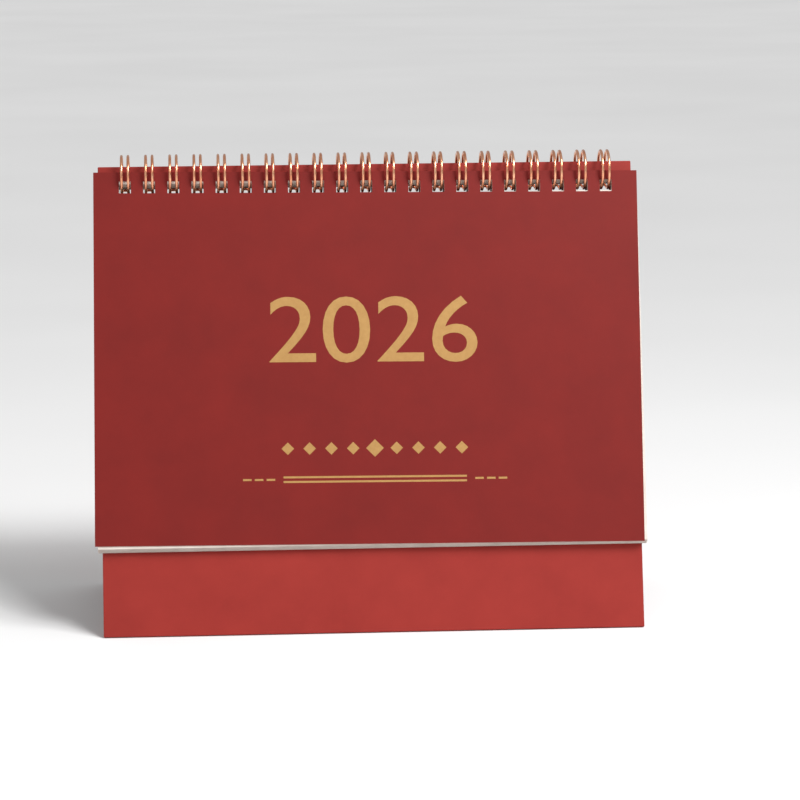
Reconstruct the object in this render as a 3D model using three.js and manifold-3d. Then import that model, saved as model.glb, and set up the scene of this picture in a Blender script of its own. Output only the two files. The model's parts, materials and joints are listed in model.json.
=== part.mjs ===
// Flip desk calendar: a tent stand of covered boards, a twin-loop wire along its top edge, and a cover and
// twelve month leaves that turn on the wire. Millimetres, +Z up, the leaves face -Y.
// The origin is on the table, under the middle of the wire.
import * as THREE from "three";
import { mergeGeometries, mergeVertices } from "three/addons/utils/BufferGeometryUtils.js";
import Module from "manifold-3d";

const wasm = await Module();
wasm.setup();

// ---- Driving dimensions ----
const standWidth = 188.4; // along X
const leanAngle = THREE.MathUtils.degToRad(15.2); // each panel's lean from the vertical
const wireCentreHeight = 156.5; // the axis of the loops above the table
const boardThickness = 1.5; // greyboard with its paper cover
const jointGap = 0.3; // clearance between pieces that touch on the real object

const loopCount = 21;
const loopPitch = 25.4 / 3; // three loops to the inch
const loopRadius = 6.65; // to the middle of the wire
const wireDiameter = 1.1;
const strandSpacing = 2.3; // between the two strands of one loop
const spineAngle = THREE.MathUtils.degToRad(-42); // where neighbouring loops are linked, from straight down
const tipAngle = THREE.MathUtils.degToRad(-30); // the closed end of each loop, measured the same way
const strandSegments = 11;

const holeSize = 4.2; // square punched holes
const holeTopAboveWire = 1.6; // from the middle of the wire to the hole's upper edge

const leafWidth = 191.4;
const coverHeight = 131;
const coverTopAboveWire = 4.8; // from the middle of the wire to the cover's upper edge
const monthHeight = 129.8;
const monthTopAboveWire = 3.6; // lower than the cover, so that a leaf turns clear of the front panel
const monthCount = 12;
const monthThickness = 0.18;
const coverThickness = 0.3;
const leafPitch = 0.26; // from one leaf to the next
const firstLeafOffset = 0.95; // the rearmost leaf in front of the wire's axis
const coverSkew = THREE.MathUtils.degToRad(-0.45); // the cover hangs a little lower at its right end

const frontPanelFace = 0.55; // its outer face, in front of the wire's axis
const frontPanelTop = 2.9; // its upper edge above the wire's axis
const backPanelTop = -4.4; // its upper edge, below the axis so that the two boards clear each other
const creaseHalfGap = 3; // each base board stops this far from the middle fold

const liningThickness = 0.15; // paper glued over the boards' inner faces
const liningMargin = 8; // from a board's edges
const liningTop = 16; // below the wire's axis, clear of the holes

// ---- Materials ----
const finish = (color, roughness, metalness = 0) =>
  new THREE.MeshStandardMaterial({ color, roughness, metalness });
const redPaper = () => finish(0x8e2f2b, 0.62);
const liningPaper = () => finish(0x6b2320, 0.75);
const coverCard = () => finish(0x8a2c28, 0.66);
const whiteCard = () => finish(0xeee8e0, 0.7);
const copperWire = () => finish(0xd99a73, 0.28, 1);

// ---- Helpers ----
const calendar = new THREE.Group();
calendar.name = "flip_desk_calendar";

// A thin upright plate, from z = 0 down to -height, with a row of square holes punched below its upper edge.
function punchedPlate(width, height, thickness, holeTop) {
  const sheet = new THREE.BoxGeometry(width, thickness, height);
  sheet.translate(0, 0, -height / 2);
  const punches = [];
  for (let index = 0; index < loopCount; index += 1) {
    const punch = new THREE.BoxGeometry(holeSize, thickness * 3, holeSize);
    punch.translate(loopCentre(index), 0, -holeTop - holeSize / 2);
    punches.push(punch);
  }
  return fromSolid(toSolid(sheet).subtract(toSolid(mergeGeometries(punches))));
}

function toSolid(geometry) {
  const bare = geometry.clone();
  bare.deleteAttribute("normal");
  bare.deleteAttribute("uv");
  const merged = mergeVertices(bare);
  const vertProperties = new Float32Array(merged.attributes.position.array);
  const triVerts = new Uint32Array(merged.index.array);
  return new wasm.Manifold(new wasm.Mesh({ numProp: 3, vertProperties, triVerts }));
}

function fromSolid(solid) {
  const mesh = solid.getMesh();
  const geometry = new THREE.BufferGeometry();
  geometry.setAttribute("position", new THREE.BufferAttribute(mesh.vertProperties, mesh.numProp));
  geometry.setIndex(new THREE.BufferAttribute(mesh.triVerts, 1));
  geometry.computeVertexNormals();
  return geometry;
}

function loopCentre(index) {
  return (index - (loopCount - 1) / 2) * loopPitch;
}

// A group at the wire's axis that leans with the front (side = 1) or back (side = -1) of the tent: in it, -Z
// runs down the panel and -Y (side = 1) or +Y (side = -1) points outwards.
function leaningGroup(side) {
  const group = new THREE.Group();
  group.position.set(0, 0, wireCentreHeight);
  group.rotation.x = -side * leanAngle;
  calendar.add(group);
  return group;
}

function addMesh(parent, name, geometry, material) {
  const mesh = new THREE.Mesh(geometry, material);
  mesh.name = name;
  parent.add(mesh);
  return mesh;
}

// How far down a leaf the wire passes through it, when the leaf lies `offset` in front of the wire's axis.
function wireCrossing(offset) {
  return Math.sqrt(loopRadius ** 2 - offset ** 2);
}

// ---- Leaves ----
function addLeaf(parent, name, height, topAboveWire, thickness, offset, material) {
  const geometry = punchedPlate(leafWidth, height, thickness, topAboveWire - holeTopAboveWire);
  const leaf = addMesh(parent, name, geometry, material);
  leaf.position.set(0, -offset, topAboveWire - wireCrossing(offset));
  return leaf;
}

function addLeaves(frontGroup) {
  for (let month = monthCount; month >= 1; month -= 1) {
    const offset = firstLeafOffset + (monthCount - month) * leafPitch;
    const name = `month_leaf_${String(month).padStart(2, "0")}`;
    addLeaf(frontGroup, name, monthHeight, monthTopAboveWire, monthThickness, offset, whiteCard());
  }
  const coverOffset = firstLeafOffset + monthCount * leafPitch + (coverThickness - monthThickness) / 2;
  const cover = addLeaf(
    frontGroup, "cover_leaf", coverHeight, coverTopAboveWire, coverThickness, coverOffset, coverCard(),
  );
  cover.rotation.y = -coverSkew;
}

// ---- Tent stand ----
// The lower edge of a panel ends where its inner corner meets the table.
function panelHeight(top, innerFace) {
  const reach = (wireCentreHeight + innerFace * Math.sin(leanAngle)) / Math.cos(leanAngle);
  return top + reach;
}

function addPanel(group, name, side, top) {
  const innerFace = frontPanelFace - boardThickness;
  const middle = (frontPanelFace + innerFace) / 2;
  const holeTop = top + wireCrossing(middle) - holeTopAboveWire;
  const height = panelHeight(top, innerFace);
  const panel = addMesh(group, name, punchedPlate(standWidth, height, boardThickness, holeTop), redPaper());
  panel.position.set(0, -side * middle, top);
}

// The inner face of a panel, from the tent's middle plane, at a height above the table.
function innerFaceDistance(height) {
  const drop = wireCentreHeight - height;
  const innerFace = frontPanelFace - boardThickness;
  return (drop * Math.sin(leanAngle) + innerFace) / Math.cos(leanAngle);
}

function addBaseBoards() {
  const outerEdge = innerFaceDistance(boardThickness) - jointGap;
  const depth = outerEdge - creaseHalfGap;
  for (const [name, side] of [["base_board_front", -1], ["base_board_rear", 1]]) {
    const block = new THREE.BoxGeometry(standWidth, depth, boardThickness);
    const board = addMesh(calendar, name, block, redPaper());
    board.position.set(0, side * (creaseHalfGap + depth / 2), boardThickness / 2);
  }
}

// A paper lining over most of each board's inner face.
function addLinings() {
  const width = standWidth - 2 * liningMargin;
  const innerFace = frontPanelFace - boardThickness;
  const reach = panelHeight(0, innerFace) - liningTop - liningMargin;
  const middle = innerFace - jointGap - liningThickness / 2;
  for (const [group, name, side] of [[frontGroup, "front_lining", 1], [backGroup, "back_lining", -1]]) {
    const sheet = new THREE.BoxGeometry(width, liningThickness, reach);
    addMesh(group, name, sheet, liningPaper()).position.set(0, -side * middle, -liningTop - reach / 2);
  }
  const outerEdge = innerFaceDistance(boardThickness) - jointGap;
  const depth = outerEdge - creaseHalfGap - 2 * liningMargin;
  for (const [name, side] of [["base_lining_front", -1], ["base_lining_rear", 1]]) {
    const flat = new THREE.BoxGeometry(width, depth, liningThickness);
    const sheet = addMesh(calendar, name, flat, liningPaper());
    const height = boardThickness + jointGap + liningThickness / 2;
    sheet.position.set(0, side * (outerEdge - liningMargin - depth / 2), height);
  }
}

// ---- Twin-loop wire ----
// One wire: up one strand from the link, round to the closed end, back along the other strand, and on.
function wirePoints() {
  const points = [];
  const sweep = 2 * Math.PI - (tipAngle - spineAngle);
  for (let loop = 0; loop < loopCount; loop += 1) {
    for (const [side, first, last] of [[-1, 0, strandSegments], [1, strandSegments, 0]]) {
      const x = loopCentre(loop) + (side * strandSpacing) / 2;
      const step = Math.sign(last - first);
      for (let index = first; index !== last + step; index += step) {
        const angle = spineAngle - (sweep * index) / strandSegments;
        points.push(pointOnLoop(x, angle));
      }
    }
  }
  return points;
}

// Angle 0 is straight down, positive towards the front.
function pointOnLoop(x, angle) {
  const y = -loopRadius * Math.sin(angle);
  const z = wireCentreHeight - loopRadius * Math.cos(angle);
  return new THREE.Vector3(x, y, z);
}

// A path whose samples are exactly its corner points, so that every bend of the wire is kept.
class CornerPath extends THREE.Curve {
  constructor(points) {
    super();
    this.points = points;
  }

  getPoint(t) {
    const place = t * (this.points.length - 1);
    const index = Math.min(Math.floor(place), this.points.length - 2);
    return this.points[index].clone().lerp(this.points[index + 1], place - index);
  }

  getPointAt(t) {
    return this.getPoint(t);
  }

  getTangentAt(t) {
    const index = Math.round(t * (this.points.length - 1));
    const before = this.points[Math.max(index - 1, 0)];
    const here = this.points[index];
    const after = this.points[Math.min(index + 1, this.points.length - 1)];
    const arriving = here.clone().sub(before).normalize();
    const leaving = after.clone().sub(here).normalize();
    return arriving.add(leaving).normalize();
  }

  getSpacedPoints(divisions) {
    return this.getPoints(divisions);
  }
}

function addWire() {
  const path = new CornerPath(wirePoints());
  const section = new THREE.Shape();
  const sides = 4;
  for (let side = 0; side < sides; side += 1) {
    const angle = ((side + 0.5) / sides) * 2 * Math.PI;
    const corner = [Math.cos(angle), Math.sin(angle)].map((value) => (value * wireDiameter) / 2);
    if (side === 0) section.moveTo(...corner);
    else section.lineTo(...corner);
  }
  section.closePath();
  const steps = path.points.length - 1;
  const wire = new THREE.ExtrudeGeometry(section, { extrudePath: path, steps, bevelEnabled: false });
  addMesh(calendar, "binding_wire", wire, copperWire());
}

// ---- Assembly ----
const frontGroup = leaningGroup(1);
const backGroup = leaningGroup(-1);
addPanel(frontGroup, "front_panel", 1, frontPanelTop);
addPanel(backGroup, "back_panel", -1, backPanelTop);
addBaseBoards();
addLinings();
addWire();
addLeaves(frontGroup);

export default calendar;
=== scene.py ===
"""Flip desk calendar: the looks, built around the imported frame. Metres, +Z up, the cover faces -Y."""
import calendar
import json
import math

import bmesh
import bpy
from mathutils import Matrix, Vector


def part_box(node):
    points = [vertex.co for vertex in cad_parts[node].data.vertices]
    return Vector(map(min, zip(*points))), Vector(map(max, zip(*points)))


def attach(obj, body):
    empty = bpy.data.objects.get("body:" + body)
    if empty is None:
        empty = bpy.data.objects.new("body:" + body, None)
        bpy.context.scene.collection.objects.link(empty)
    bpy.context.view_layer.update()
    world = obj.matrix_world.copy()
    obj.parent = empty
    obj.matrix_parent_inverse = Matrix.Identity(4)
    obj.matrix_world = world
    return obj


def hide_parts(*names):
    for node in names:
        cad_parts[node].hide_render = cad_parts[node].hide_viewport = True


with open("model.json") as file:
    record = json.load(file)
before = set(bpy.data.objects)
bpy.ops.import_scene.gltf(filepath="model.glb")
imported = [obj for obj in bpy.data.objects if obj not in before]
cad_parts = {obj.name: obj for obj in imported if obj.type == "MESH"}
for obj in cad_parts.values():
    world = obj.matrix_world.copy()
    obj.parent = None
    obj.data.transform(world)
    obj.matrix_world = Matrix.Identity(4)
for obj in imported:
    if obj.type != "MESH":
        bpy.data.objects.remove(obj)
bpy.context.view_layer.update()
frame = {"nodes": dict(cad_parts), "record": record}

MM = 0.001
SCENE = bpy.context.scene
MONTHS = range(1, 13)
YEAR = 2026

# ---- Sizes: the wire's axis from the frame, the rest given ----
JOINTS = {joint["name"]: joint for joint in frame["record"]["behaviour"]["joints"]}
WIRE_AXIS = Vector(JOINTS["cover_flip"]["pos_m"])
LEAN = math.radians(15.2)
OUTWARD = Vector((0, -math.cos(LEAN), math.sin(LEAN)))    # straight out of the cover
DOWN_LEAF = Vector((0, -math.sin(LEAN), -math.cos(LEAN)))  # down the cover, in its plane
OUTWARD_BACK = Vector((0, math.cos(LEAN), math.sin(LEAN)))
COVER_SKEW = math.radians(-0.45)

LOOP_COUNT = 21
LOOP_PITCH = 25.4 / 3 * MM
LOOP_RADIUS = 6.65 * MM
WIRE_RADIUS = 0.5 * MM
STRAND_SPACING = 2.3 * MM
SPINE_ANGLE = math.radians(-42)
TIP_ANGLE = math.radians(-30)


# ---- Node helpers ----
class Nodes:
    """A material's node tree, with short calls for the nodes used here."""

    def __init__(self, name):
        self.material = bpy.data.materials.new(name)
        self.material.use_nodes = True
        self.tree = self.material.node_tree
        self.shader = self.tree.nodes["Principled BSDF"]
        self.place = self.tree.nodes.new("ShaderNodeTexCoord")

    def add(self, kind, inputs=None, **settings):
        node = self.tree.nodes.new(kind)
        for key, value in settings.items():
            setattr(node, key, value)
        for key, value in (inputs or {}).items():
            if isinstance(value, bpy.types.NodeSocket):
                self.tree.links.new(value, node.inputs[key])
            else:
                node.inputs[key].default_value = value
        return node

    def noise(self, scale, detail=4.0, roughness=0.6, stretch=None):
        vector = self.place.outputs["Object"]
        if stretch:
            vector = self.add("ShaderNodeMapping", {"Vector": vector, "Scale": stretch}).outputs["Vector"]
        inputs = {"Vector": vector, "Scale": scale, "Detail": detail, "Roughness": roughness}
        return self.add("ShaderNodeTexNoise", inputs).outputs["Fac"]

    def ramp(self, factor, *stops):
        node = self.add("ShaderNodeValToRGB", {"Fac": factor})
        elements = node.color_ramp.elements
        while len(elements) < len(stops):
            elements.new(0.5)
        for element, (position, colour) in zip(elements, stops):
            element.position = position
            element.color = (*colour, 1)
        return node.outputs["Color"]

    def mix(self, factor, first, second, blend_type="MIX"):
        inputs = {"Fac": factor, "Color1": first, "Color2": second}
        return self.add("ShaderNodeMixRGB", inputs, blend_type=blend_type).outputs["Color"]

    def maths(self, operation, first, second):
        node = self.add("ShaderNodeMath", {0: first, 1: second}, operation=operation)
        return node.outputs["Value"]

    def bump(self, height, strength, distance, below=None):
        inputs = {"Height": height, "Strength": strength, "Distance": distance}
        if below is not None:
            inputs["Normal"] = below
        return self.add("ShaderNodeBump", inputs).outputs["Normal"]

    def set(self, **sockets):
        for key, value in sockets.items():
            socket = self.shader.inputs[key.replace("_", " ")]
            if isinstance(value, bpy.types.NodeSocket):
                self.tree.links.new(value, socket)
            else:
                socket.default_value = value
        return self.material


def srgb(red, green, blue):
    """Linear colour from the 0-255 values that a screen shows."""
    def linear(value):
        value /= 255
        return value / 12.92 if value <= 0.04045 else ((value + 0.055) / 1.055) ** 2.4
    return tuple(linear(value) for value in (red, green, blue))


# ---- Materials ----
def red_paper(name, dark, light, grain=0.25):
    """Printed covering paper: a matt laminated red, mottled, with fine fibres and a faint laid line."""
    nodes = Nodes(name)
    mottle = nodes.noise(55, 5, 0.62)
    colour = nodes.ramp(mottle, (0.3, dark), (0.72, light))
    fibres = nodes.noise(900, 3, 0.7, stretch=(1, 1, 0.35))
    specks = nodes.ramp(nodes.noise(2600, 2, 0.5), (0.66, (0, 0, 0)), (0.74, (1, 1, 1)))
    pale = tuple(min(1, value * 1.9 + 0.015) for value in light)
    colour = nodes.mix(nodes.maths("MULTIPLY", specks, 0.16), colour, (*pale, 1))
    colour = nodes.mix(nodes.maths("MULTIPLY", fibres, 0.22), colour, (*dark, 1))
    rubbed = nodes.noise(24, 6, 0.7)
    roughness = nodes.add("ShaderNodeMapRange", {"Value": rubbed, "To Min": 0.46, "To Max": 0.66})
    tooth = nodes.bump(nodes.noise(1500, 4, 0.65), grain, 0.00006)
    waves = nodes.bump(nodes.noise(18, 2, 0.5), 0.12, 0.0006, below=tooth)
    return nodes.set(Base_Color=colour, Roughness=roughness.outputs["Result"], Normal=waves,
                     Specular_IOR_Level=0.25)


def white_card(name):
    """Uncoated card: a warm white with faint fibres."""
    nodes = Nodes(name)
    colour = nodes.ramp(nodes.noise(130, 4), (0.3, srgb(200, 189, 180)), (0.7, srgb(217, 207, 199)))
    fibres = nodes.noise(1400, 3, 0.7, stretch=(0.4, 1, 1))
    colour = nodes.mix(nodes.maths("MULTIPLY", fibres, 0.12), colour, (*srgb(178, 166, 154), 1))
    return nodes.set(Base_Color=colour, Roughness=0.72, Specular_IOR_Level=0.3,
                     Normal=nodes.bump(nodes.noise(1800, 4), 0.2, 0.00005))


def board_core(name):
    """Painted shade for the walls of the punched holes: a near-black brown with a fine grain bump, standing
    in for the shade inside the holes.
    """
    nodes = Nodes(name)
    colour = nodes.ramp(nodes.noise(1500, 5), (0.3, srgb(34, 27, 23)), (0.7, srgb(66, 54, 46)))
    return nodes.set(Base_Color=colour, Roughness=0.9, Normal=nodes.bump(nodes.noise(2200, 4), 0.6, 0.0001))


def gold_ink(name):
    """Flat gold foil, slightly uneven where the card's tooth shows through."""
    nodes = Nodes(name)
    colour = nodes.ramp(nodes.noise(420, 5, 0.7), (0.25, srgb(164, 122, 68)), (0.75, srgb(178, 138, 80)))
    worn = nodes.add("ShaderNodeMapRange", {"Value": nodes.noise(1500, 4), "To Min": 0.38, "To Max": 0.62})
    return nodes.set(Base_Color=colour, Metallic=0.35, Roughness=worn.outputs["Result"],
                     Normal=nodes.bump(nodes.noise(1700, 4), 0.25, 0.00005))


def copper_wire(name):
    """Rose-gold lacquered steel wire with fine drawing marks."""
    nodes = Nodes(name)
    colour = nodes.ramp(nodes.noise(260, 4), (0.3, srgb(222, 142, 104)), (0.7, srgb(246, 190, 152)))
    scuffed = nodes.add("ShaderNodeMapRange", {"Value": nodes.noise(1900, 4), "To Min": 0.16, "To Max": 0.34})
    return nodes.set(Base_Color=colour, Metallic=1.0, Roughness=scuffed.outputs["Result"],
                     Coat_Weight=0.25, Coat_Roughness=0.2,
                     Normal=nodes.bump(nodes.noise(2600, 2), 0.15, 0.00003))


def print_ink(name, colour):
    """Flat offset ink on card."""
    nodes = Nodes(name)
    tint = tuple(value * 1.35 + 0.004 for value in colour)
    mottled = nodes.ramp(nodes.noise(900, 4), (0.3, colour), (0.75, tint))
    return nodes.set(Base_Color=mottled, Roughness=0.68, Specular_IOR_Level=0.3,
                     Normal=nodes.bump(nodes.noise(1700, 3), 0.15, 0.00004))


def studio_floor(name):
    nodes = Nodes(name)
    colour = nodes.ramp(nodes.noise(3, 2), (0.3, (0.86, 0.86, 0.86)), (0.7, (0.9, 0.9, 0.9)))
    return nodes.set(Base_Color=colour, Roughness=0.85, Specular_IOR_Level=0.2)


# Painted bounce light: the stand paper is the same red as the cover paper, coloured lighter for the floor's
# bounce light on the stand.
STAND_PAPER = red_paper("stand_paper", srgb(135, 34, 27), srgb(147, 41, 33))
LINING_PAPER = red_paper("lining_paper", srgb(92, 26, 22), srgb(106, 32, 27), grain=0.4)
COVER_PAPER = red_paper("cover_paper", srgb(107, 15, 9), srgb(117, 19, 12), grain=0.3)
# Painted shade: the panels' hole walls are coloured near-black for the shade inside the punched holes.
CARD = white_card("leaf_card")
HOLE_SHADE = board_core("hole_wall_painted_shade")
GOLD = gold_ink("gold_ink")
COPPER = copper_wire("rose_gold_wire")
GREY_INK = print_ink("grey_ink", srgb(74, 70, 68))
RED_INK = print_ink("red_ink", srgb(140, 44, 40))


# ---- Mesh helpers ----
def repaint(node, material):
    """A CAD node that keeps its shape takes a finer material."""
    materials = frame["nodes"][node].data.materials
    materials.clear()
    materials.append(material)


def new_object(name, mesh, *materials):
    obj = bpy.data.objects.new(name, mesh)
    SCENE.collection.objects.link(obj)
    for material in materials:
        mesh.materials.append(material)
    return obj


def apply_modifiers(obj):
    bpy.context.view_layer.update()
    evaluated = obj.evaluated_get(bpy.context.evaluated_depsgraph_get())
    mesh = bpy.data.meshes.new_from_object(evaluated)
    obj.modifiers.clear()
    obj.data = mesh
    return obj


def punched_sheet(name, node, out, edge_width, faces, cut_edge):
    """A copy of a punched CAD plate with softened edges, its cut edges in a second material: the white card
    inside, the covering paper, or painted shade in the holes.
    """
    mesh = frame["nodes"][node].data.copy()
    mesh.materials.clear()
    obj = new_object(name, mesh, faces, cut_edge)
    clean = bmesh.new()
    clean.from_mesh(mesh)
    bmesh.ops.remove_doubles(clean, verts=clean.verts, dist=1e-6)
    bmesh.ops.dissolve_limit(clean, angle_limit=math.radians(1), verts=clean.verts, edges=clean.edges)
    for face in clean.faces:
        face.material_index = 0 if abs(face.normal.dot(out)) > 0.7 else 1
        face.smooth = False
    clean.to_mesh(mesh)
    clean.free()
    bevel = obj.modifiers.new("soft_edges", "BEVEL")
    bevel.width = edge_width
    bevel.segments = 2
    bevel.limit_method = "ANGLE"
    bevel.angle_limit = math.radians(40)
    bevel.material = 0
    return apply_modifiers(obj)


def wrap_outer_edges(obj, low, high, width):
    """Covering paper folds over a board's outer edges, so only the punched holes show the painted shade."""
    for polygon in obj.data.polygons:
        centre = polygon.center
        near_side = centre.x < low.x + width or centre.x > high.x - width
        near_end = centre.z < low.z + width or centre.z > high.z - width
        if near_side or near_end:
            polygon.material_index = 0
    return obj


def plate_in_plane(name, origin, across, down, out, width, height, thickness, material):
    """A thin rectangle with rounded edges, its upper middle at origin, on a surface that faces `out`."""
    mesh = bpy.data.meshes.new(name)
    build = bmesh.new()
    corners = []
    for layer in (0, thickness):
        for side, drop in ((-1, 0), (1, 0), (1, height), (-1, height)):
            corners.append(build.verts.new(origin + across * (side * width / 2) + down * drop + out * layer))
    for loop in ((3, 2, 1, 0), (4, 5, 6, 7), (0, 1, 5, 4), (1, 2, 6, 5), (2, 3, 7, 6), (3, 0, 4, 7)):
        build.faces.new([corners[index] for index in loop])
    bmesh.ops.recalc_face_normals(build, faces=build.faces)
    bmesh.ops.bevel(build, geom=build.edges, offset=thickness * 0.3, segments=1, affect="EDGES")
    build.to_mesh(mesh)
    build.free()
    return new_object(name, mesh, material)


# ---- The camera, at the photograph's viewing angle ----
def make_camera():
    yaw, pitch, roll = math.radians(3.24), math.radians(9.25), math.radians(-0.38)
    distance, target = 1.1543, Vector((0, 0, 0.085))
    sensor, lens = 36, 145.6515  # both in Blender's millimetres
    shift_right, shift_down = 0.041625, 0.034875  # of the frame's width: the target sits off its middle
    forward = Vector((math.sin(yaw) * math.cos(pitch), math.cos(yaw) * math.cos(pitch), -math.sin(pitch)))
    level = Vector((math.cos(yaw), -math.sin(yaw), 0))
    lift = level.cross(forward)
    right = level * math.cos(roll) + lift * math.sin(roll)
    up = lift * math.cos(roll) - level * math.sin(roll)
    data = bpy.data.cameras.new("camera")
    data.sensor_width = sensor
    data.lens = lens
    data.shift_x, data.shift_y = shift_right, -shift_down
    data.clip_start, data.clip_end = 0.05, 20
    camera = bpy.data.objects.new("camera", data)
    SCENE.collection.objects.link(camera)
    axes = Matrix((right, up, -forward)).transposed().to_4x4()
    camera.matrix_world = Matrix.Translation(target - forward * distance) @ axes
    SCENE.camera = camera


# ---- Twin-loop wire ----
def loop_point(x, angle):
    """A point on the loops' circle: angle 0 is straight down, positive towards the front."""
    return WIRE_AXIS + Vector((x, -LOOP_RADIUS * math.sin(angle), -LOOP_RADIUS * math.cos(angle)))


def make_wire():
    """One wire bent into loops: each has two strands, a rounded closed end, and a link to the next loop."""
    strand_steps, bend_steps = 44, 8
    corner_share, link_reach = 0.45, 0.35  # of the closed end's round, and of the strands' spacing
    sweep = 2 * math.pi - (TIP_ANGLE - SPINE_ANGLE)
    bend = STRAND_SPACING / 2 / LOOP_RADIUS  # the closed end's round, as an angle on the loop
    points = []
    for loop in range(LOOP_COUNT):
        middle = (loop - (LOOP_COUNT - 1) / 2) * LOOP_PITCH
        left, right = middle - STRAND_SPACING / 2, middle + STRAND_SPACING / 2
        corner = corner_share * bend
        if loop:
            points.append(loop_point(left - STRAND_SPACING * link_reach, SPINE_ANGLE))
        strand = [SPINE_ANGLE - corner - (sweep - bend - corner) * step / strand_steps
                  for step in range(strand_steps + 1)]
        points += [loop_point(left, angle) for angle in strand]
        for step in range(1, bend_steps):
            turn = math.pi * step / bend_steps
            x = middle - STRAND_SPACING / 2 * math.cos(turn)
            points.append(loop_point(x, strand[-1] - bend * math.sin(turn)))
        points += [loop_point(right, angle) for angle in reversed(strand)]
        if loop < LOOP_COUNT - 1:
            points.append(loop_point(right + STRAND_SPACING * link_reach, SPINE_ANGLE))
    curve = bpy.data.curves.new("binding_wire_fine", "CURVE")
    curve.dimensions = "3D"
    curve.bevel_depth = WIRE_RADIUS
    curve.bevel_resolution = 2
    curve.use_fill_caps = True
    spline = curve.splines.new("POLY")
    spline.points.add(len(points) - 1)
    for place, point in zip(spline.points, points):
        place.co = (*point, 1)
    spline.use_smooth = True
    curve.materials.append(COPPER)
    wire = bpy.data.objects.new("binding_wire_fine", curve)
    SCENE.collection.objects.link(wire)
    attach(wire, "stand_front")
    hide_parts("binding_wire")


# ---- Stand ----
def make_panels():
    low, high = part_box("front_panel")
    front = punched_sheet("front_panel_covered", "front_panel", OUTWARD, 0.28 * MM, STAND_PAPER, HOLE_SHADE)
    wrap_outer_edges(front, low, high, 2 * MM)
    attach(front, "stand_front")
    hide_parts("front_panel")

    low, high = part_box("back_panel")
    back = punched_sheet("back_panel_covered", "back_panel", OUTWARD_BACK, 0.28 * MM, STAND_PAPER, HOLE_SHADE)
    wrap_outer_edges(back, low, high, 2 * MM)
    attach(back, "stand_back")
    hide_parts("back_panel")


def make_linings():
    for name in ("front_lining", "back_lining", "base_lining_front", "base_lining_rear"):
        repaint(name, LINING_PAPER)


def make_base_boards():
    for name, body in (("base_board_front", "base_front"), ("base_board_rear", "base_rear")):
        board = punched_sheet(name + "_covered", name, Vector((0, 0, 1)), 0.3 * MM, STAND_PAPER, STAND_PAPER)
        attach(board, body)
        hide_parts(name)


def make_middle_crease():
    """The covering paper's two lips at the fold in the middle of the base, where there is no board."""
    for name, body, side in (("crease_lip_front", "base_front", -1), ("crease_lip_rear", "base_rear", 1)):
        board = "base_board_front" if side < 0 else "base_board_rear"
        low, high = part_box(board)
        edge = high.y if side < 0 else low.y
        start = Vector((0, edge + side * 0.4 * MM, 0.12 * MM))
        lip = plate_in_plane(name, start, Vector((1, 0, 0)), Vector((0, -side, 0)), Vector((0, 0, 1)),
                             high.x - low.x - 1 * MM, abs(edge) + 0.25 * MM, 0.2 * MM, STAND_PAPER)
        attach(lip, body)


# ---- Cover and its gold print ----
def leaf_frame(node, skew=0.0, front=True):
    """The upper middle of a leaf's front or back face, with the directions across, down and out of it."""
    out = OUTWARD if front else -OUTWARD
    turn = Matrix.Rotation(skew, 3, OUTWARD)
    across, down = turn @ Vector((1, 0, 0)) * (1 if front else -1), turn @ DOWN_LEAF
    points = [vertex.co - WIRE_AXIS for vertex in frame["nodes"][node].data.vertices]
    face = max(out.dot(point) for point in points)
    top = min(down.dot(point) for point in points)
    side = [across.dot(point) for point in points]
    return WIRE_AXIS + out * face + down * top + across * (min(side) + max(side)) / 2, across, down, out


def make_cover():
    cover = punched_sheet("cover_sheet", "cover_leaf", OUTWARD, 0.04 * MM, COVER_PAPER, CARD)
    for polygon in cover.data.polygons:
        if polygon.normal.dot(OUTWARD) < -0.7:
            polygon.material_index = 1
    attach(cover, "cover")
    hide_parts("cover_leaf")


def flat_text(name, body, size, material):
    """A text as a flat, thin mesh in the XY plane, centred on its own middle."""
    curve = bpy.data.curves.new(name, "FONT")
    curve.body = body
    curve.size = size
    curve.align_x = "CENTER"
    curve.extrude = 0.008 * MM
    curve.resolution_u = 6
    holder = bpy.data.objects.new(name + "_curve", curve)
    SCENE.collection.objects.link(holder)
    bpy.context.view_layer.update()
    mesh = bpy.data.meshes.new_from_object(holder.evaluated_get(bpy.context.evaluated_depsgraph_get()))
    bpy.data.objects.remove(holder)
    mesh.materials.clear()
    return new_object(name, mesh, material)


def lay_on_leaf(obj, origin, across, down, out, x, drop, width=None, height=None, lift=0.012 * MM):
    """Moves a flat mesh from the XY plane onto a leaf, scaled to a width and height, `drop` below its top."""
    xs = [vertex.co.x for vertex in obj.data.vertices]
    ys = [vertex.co.y for vertex in obj.data.vertices]
    scale_x = width / (max(xs) - min(xs)) if width else 1
    scale_y = height / (max(ys) - min(ys)) if height else 1
    middle, top = (min(xs) + max(xs)) / 2, max(ys)
    for vertex in obj.data.vertices:
        flat = vertex.co.copy()
        along = (flat.x - middle) * scale_x + x
        below = (top - flat.y) * scale_y + drop
        vertex.co = origin + across * along + down * below + out * (flat.z + lift)
    return obj


def make_cover_print():
    origin, across, down, _ = leaf_frame("cover_leaf", COVER_SKEW)
    year = flat_text("cover_year", str(YEAR), 30 * MM, GOLD)
    lay_on_leaf(year, origin, across, down, OUTWARD, 1.8 * MM, 44.3 * MM, width=73 * MM, height=23.3 * MM)
    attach(year, "cover")
    make_ornaments(origin, across, down)


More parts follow.
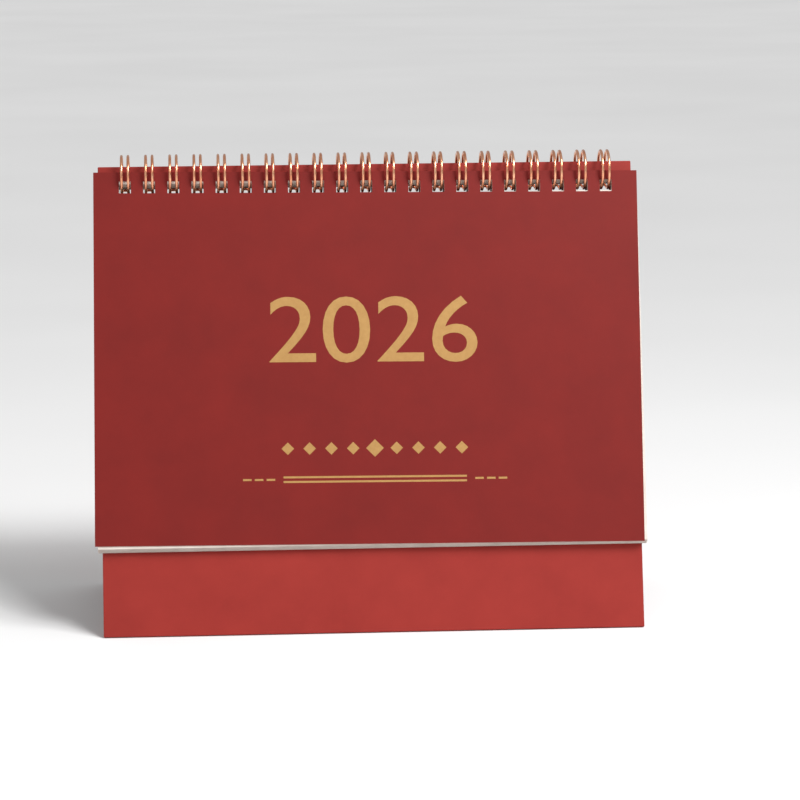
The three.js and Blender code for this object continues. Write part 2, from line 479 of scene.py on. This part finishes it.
def make_ornaments(origin, across, down):
    """A row of lozenges and a broken rule under the year, in place of wording."""
    mesh = bpy.data.meshes.new("cover_ornaments")
    build = bmesh.new()
    thickness = 0.016 * MM
    centre = 1.8 * MM

    def add_prism(outline):
        lower = [build.verts.new(origin + across * x + down * z) for x, z in outline]
        upper = [build.verts.new(vertex.co + OUTWARD * thickness) for vertex in lower]
        build.faces.new(lower)
        build.faces.new(list(reversed(upper)))
        for index in range(len(outline)):
            after = (index + 1) % len(outline)
            build.faces.new([lower[index], upper[index], upper[after], lower[after]])

    lozenges, spacing, row = 9, 7.6 * MM, 97.6 * MM
    large, small = 3.1 * MM, 2.2 * MM
    for index in range(lozenges):
        x = centre + (index - (lozenges - 1) / 2) * spacing
        size = large if index == lozenges // 2 else small
        add_prism([(x - size, row), (x, row - size), (x + size, row), (x, row + size)])
    rule_row, half_line = 108.4 * MM, 0.35 * MM
    first_dash, dash_spacing, half_dash = 36.4 * MM, 4.1 * MM, 1.5 * MM
    for dash in range(3):
        for side in (-1, 1):
            x = centre + side * (first_dash + dash_spacing * dash)
            add_prism([(x - half_dash, rule_row - half_line), (x + half_dash, rule_row - half_line),
                       (x + half_dash, rule_row + half_line), (x - half_dash, rule_row + half_line)])
    bar = 32 * MM
    for offset in (-0.8 * MM, 0.8 * MM):
        line = rule_row + offset
        add_prism([(centre - bar, line - half_line), (centre + bar, line - half_line),
                   (centre + bar, line + half_line), (centre - bar, line + half_line)])
    bmesh.ops.recalc_face_normals(build, faces=build.faces)
    build.to_mesh(mesh)
    build.free()
    ornaments = new_object("cover_ornaments", mesh, GOLD)
    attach(ornaments, "cover")


# ---- Month leaves ----
GREY, RED = 0, 1  # the two inks, as material slots


class LeafPrint:
    """Ink on one face of a leaf: thin closed shapes, placed across and down from its upper middle."""

    thickness, lift = 0.012 * MM, 0.01 * MM

    def __init__(self, node, front):
        self.origin, self.across, self.down, self.out = leaf_frame(node, front=front)
        self.points, self.faces, self.inks = [], [], []

    def point(self, x, drop, height=0.0):
        return self.origin + self.across * x + self.down * drop + self.out * (self.lift + height)

    def bar(self, x, drop, width, height, ink=GREY):
        first = len(self.points)
        corners = ((-1, 0), (1, 0), (1, 1), (-1, 1))
        for layer in (0, self.thickness):
            for side, low in corners:
                self.points.append(self.point(x + side * width / 2, drop + low * height, layer))
        for face in ((0, 1, 2, 3), (4, 5, 6, 7), (0, 1, 5, 4), (1, 2, 6, 5), (2, 3, 7, 6), (3, 0, 4, 7)):
            self.faces.append([first + index for index in face])
            self.inks.append(ink)

    def number(self, glyphs, x, drop, size, ink=GREY):
        first = len(self.points)
        for flat in glyphs["points"]:
            height = self.thickness if flat.z > 0 else 0
            self.points.append(self.point(x + flat.x * size, drop + (1 - flat.y) * size, height))
        for face in glyphs["faces"]:
            self.faces.append([first + index for index in face])
            self.inks.append(ink)

    def lay(self, name, body):
        mesh = bpy.data.meshes.new(name)
        mesh.from_pydata(self.points, [], self.faces)
        ink = new_object(name, mesh, GREY_INK, RED_INK)
        for polygon, slot in zip(mesh.polygons, self.inks):
            polygon.material_index = slot
        clean = bmesh.new()
        clean.from_mesh(mesh)
        bmesh.ops.remove_doubles(clean, verts=clean.verts, dist=1e-7)
        bmesh.ops.recalc_face_normals(clean, faces=clean.faces)
        clean.to_mesh(mesh)
        clean.free()
        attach(ink, body)


def number_glyphs(number):
    """A number's outline in the built-in font, one unit high, starting at x = 0."""
    holder = flat_text(f"number_{number}", str(number), 1.0, GREY_INK)
    points = [vertex.co.copy() for vertex in holder.data.vertices]
    faces = [list(polygon.vertices) for polygon in holder.data.polygons]
    bpy.data.objects.remove(holder)
    left, foot = min(point.x for point in points), min(point.y for point in points)
    tall = max(point.y for point in points) - foot
    for point in points:
        point.x, point.y = (point.x - left) / tall, (point.y - foot) / tall
    return {"points": points, "faces": faces}


def make_month_leaves():
    """Card leaves: numbered days in a plain grid on the front, ruled lines on the back."""
    glyphs = {number: number_glyphs(number) for number in range(1, 32)}
    for month in MONTHS:
        node, body = f"month_leaf_{month:02d}", f"month_{month:02d}"
        repaint(node, CARD)
        print_days(node, month, glyphs).lay(f"month_days_{month:02d}", body)
        print_rules(node).lay(f"month_rules_{month:02d}", body)


def print_days(node, month, glyphs):
    columns, rows, grid_width = 7, 6, 168 * MM
    cell_width, cell_height = grid_width / columns, 15 * MM
    grid_top, line = 31 * MM, 0.3 * MM
    page = LeafPrint(node, front=True)
    page.number(glyphs[month], -grid_width / 2, 11 * MM, 8.5 * MM, RED)
    page.bar(0, 24 * MM, grid_width, 4.6 * MM, RED)
    for row in range(rows + 1):
        page.bar(0, grid_top + row * cell_height, grid_width, line)
    for column in range(columns + 1):
        page.bar(-grid_width / 2 + column * cell_width, grid_top, line, rows * cell_height)
    first, days = calendar.monthrange(YEAR, month)
    for day in range(1, days + 1):
        row, column = divmod(first + day - 1, columns)
        x = -grid_width / 2 + column * cell_width + 2 * MM
        ink = RED if column == columns - 1 else GREY
        page.number(glyphs[day], x, grid_top + row * cell_height + 2 * MM, 3.6 * MM, ink)
    return page


def print_rules(node):
    rules, spacing, first_drop = 14, 7 * MM, 22 * MM
    width, line = 168 * MM, 0.35 * MM
    page = LeafPrint(node, front=False)
    for rule in range(rules):
        page.bar(0, first_drop + rule * spacing, width, line)
    return page


# ---- Floor and light ----
def make_studio():
    mesh = bpy.data.meshes.new("studio_floor")
    reach = 40
    mesh.from_pydata([(-reach, -reach, 0), (reach, -reach, 0), (reach, reach, 0), (-reach, reach, 0)], [],
                     [(0, 1, 2, 3)])
    floor = new_object("studio_floor", mesh, studio_floor("floor_white"))
    world = bpy.data.worlds.new("studio")
    SCENE.world = world
    world.use_nodes = True
    tree = world.node_tree
    background = tree.nodes["Background"]
    background.inputs["Color"].default_value = (1, 1, 1, 1)
    seen, lighting = 1.0, 0.45  # the sweep looks white, and lights the object more softly than that
    rays = tree.nodes.new("ShaderNodeLightPath")
    strength = tree.nodes.new("ShaderNodeMapRange")
    strength.inputs["To Min"].default_value = lighting
    strength.inputs["To Max"].default_value = seen
    tree.links.new(rays.outputs["Is Camera Ray"], strength.inputs["Value"])
    tree.links.new(strength.outputs["Result"], background.inputs["Strength"])
    sun = bpy.data.lights.new("sun", "SUN")
    sun.energy, sun.angle = 1.5, math.radians(16)
    aim(bpy.data.objects.new("sun", sun), (0.42, -0.62, 0.78))
    add_light("key", (0.36, -0.36, 0.62), 0.3, 4)
    add_light("fill", (-1.0, -0.9, 0.6), 1.0, 2)


def aim(light, place):
    """Puts a light at a place, looking at the middle of the calendar."""
    SCENE.collection.objects.link(light)
    light.location = place
    light.rotation_mode = "QUATERNION"
    light.rotation_quaternion = (Vector((0, 0, 0.08)) - Vector(place)).to_track_quat("-Z", "Y")


def add_light(name, place, size, power):
    data = bpy.data.lights.new(name, "AREA")
    data.size = size
    data.energy = power
    aim(bpy.data.objects.new(name, data), place)


make_camera()
make_wire()
make_panels()
make_base_boards()
make_linings()
make_middle_crease()
make_cover()
make_cover_print()
make_month_leaves()
make_studio()
SCENE.view_settings.view_transform = "Standard"
